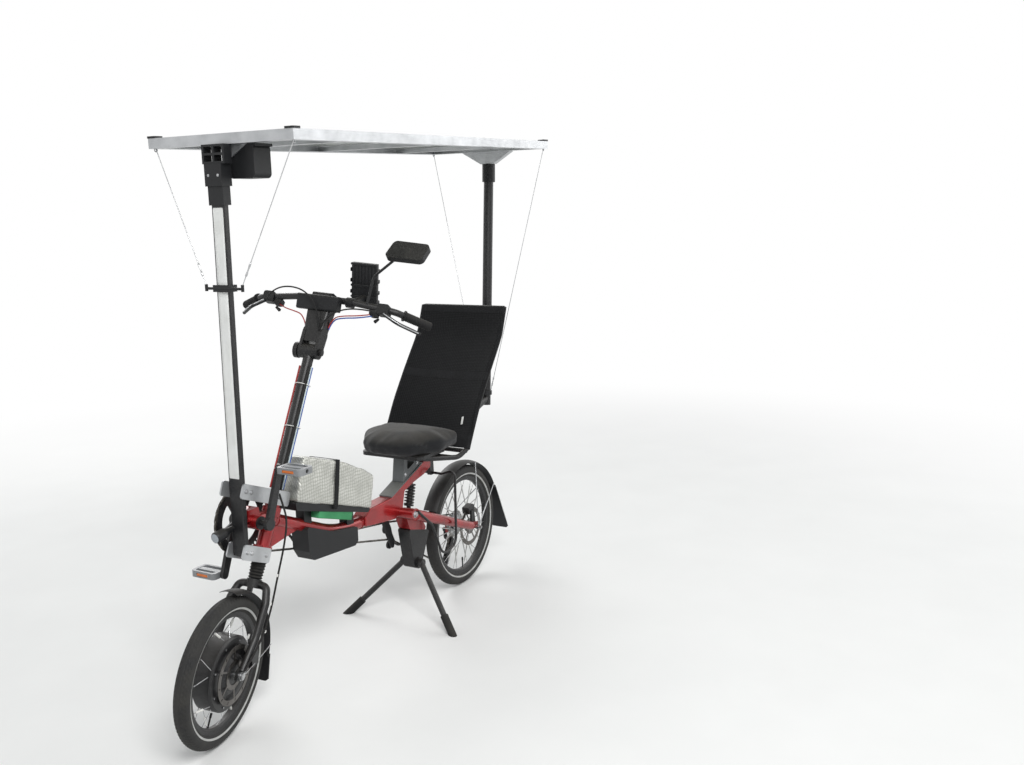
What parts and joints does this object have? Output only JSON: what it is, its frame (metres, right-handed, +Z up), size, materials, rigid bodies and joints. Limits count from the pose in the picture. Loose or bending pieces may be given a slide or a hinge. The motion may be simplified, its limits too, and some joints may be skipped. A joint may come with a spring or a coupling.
{
  "type": "recumbent bicycle",
  "caption": "Long-wheelbase recumbent bicycle with a solar roof on two posts, hub-motor front wheel, mesh seat, chain drive and centre stand.",
  "frame": {"origin": "on the ground, under the middle of the outline, in the frame's centre plane to within 14 mm", "axes": "+X forward, +Y to the rider's left, +Z up"},
  "size_m": [1.9628, 0.7097, 1.8131],
  "materials": {
    "aluminium": "satin",
    "black_paint": "satin",
    "black_rubber": "matt",
    "bright_steel": "bright",
    "dark_plastic": "matt",
    "disc_steel": "ground",
    "foil_wrap": "crinkled foil",
    "mirror_glass": "gloss shell",
    "pedal_plastic": "satin",
    "red_frame_paint": "metallic gloss",
    "seat_fabric": "woven",
    "solar_glass": "gloss",
    "tyre_rubber": "matt"
  },
  "bodies": {
    "frame": {"frame": "red_frame_paint", "bottom_bracket": "dark_plastic", "swingarm": "red_frame_paint", "rear_shock": "black_paint", "seat_rail": "dark_plastic", "seat_frame": "black_paint", "seat_mesh": "seat_fabric", "seat_cushion": "seat_fabric", "rear_post": "black_paint", "rear_boom": "black_paint", "roof_frame": "aluminium", "solar_panel": "solar_glass", "roof_corners": "dark_plastic", "front_post": "black_paint", "post_fittings": "dark_plastic", "roof_brackets": "aluminium", "roof_regulator": "dark_plastic", "roof_stays": "bright_steel", "post_plates": "aluminium", "battery_box": "foil_wrap", "battery_base": "dark_plastic", "controller": "dark_plastic", "chain": "bright_steel", "chain_idlers": "dark_plastic", "rear_derailleur": "black_paint", "rear_axle": "bright_steel", "rear_fender": "dark_plastic", "rear_caliper": "black_paint", "pannier_hoops": "black_paint", "stand_bracket": "black_paint", "headlamp": "dark_plastic"},
    "rear_wheel": {"rear_tyre": "tyre_rubber", "rear_rim": "black_paint", "rear_hub": "bright_steel", "rear_spokes": "bright_steel", "rear_disc": "disc_steel"},
    "steering": {"steering_column": "black_paint", "fork": "black_paint", "fork_bellows": "black_rubber", "front_axle": "bright_steel", "front_fender": "dark_plastic", "front_caliper": "black_paint"},
    "front_wheel": {"front_tyre": "tyre_rubber", "front_rim": "black_paint", "hub_motor": "black_paint", "front_spokes": "bright_steel", "front_disc": "disc_steel"},
    "handlebar": {"upper_stem": "black_paint", "handlebar": "black_paint", "grips": "black_rubber", "display": "dark_plastic", "phone_holder": "dark_plastic", "mirror": "mirror_glass", "brake_levers": "dark_plastic"},
    "crank": {"crank_arms": "black_paint", "chainring": "black_paint"},
    "left_pedal": {"left_pedal": "pedal_plastic"},
    "right_pedal": {"right_pedal": "pedal_plastic"},
    "stand": {"stand_legs": "black_paint", "stand_feet": "black_rubber"}
  },
  "joints": [
    {"name": "steering_turn", "type": "hinge", "parent": "frame", "child": "steering", "pos_m": [0.69333, 0, 0.19441], "axis": [-0.4384, 0, 0.8988], "range_deg": [-54, 26]},
    {"name": "handlebar_tilt", "type": "hinge", "parent": "steering", "child": "handlebar", "pos_m": [0.2497, 0, 1.10399], "axis": [-0.2174, 0.9703, -0.106], "range_deg": [-20, 30]},
    {"name": "front_wheel_spin", "type": "hinge", "parent": "steering", "child": "front_wheel", "pos_m": [0.7522, 0.01633, 0.22312], "axis": [-0.2174, 0.9703, -0.106], "continuous": true},
    {"name": "rear_wheel_spin", "type": "hinge", "parent": "frame", "child": "rear_wheel", "pos_m": [-0.648, 0, 0.25], "axis": [0, 1, 0], "continuous": true},
    {"name": "crank_spin", "type": "hinge", "parent": "frame", "child": "crank", "pos_m": [0.567, 0, 0.626], "axis": [0, 1, 0], "continuous": true},
    {"name": "left_pedal_spin", "type": "hinge", "parent": "crank", "child": "left_pedal", "pos_m": [0.50536, 0.124, 0.78658], "axis": [0, 1, 0], "continuous": true},
    {"name": "right_pedal_spin", "type": "hinge", "parent": "crank", "child": "right_pedal", "pos_m": [0.62864, -0.124, 0.46542], "axis": [0, 1, 0], "continuous": true},
    {"name": "stand_fold", "type": "hinge", "parent": "frame", "child": "stand", "pos_m": [-0.282, 0, 0.21], "axis": [0, 1, 0], "range_deg": [0, 105]}
  ]
}
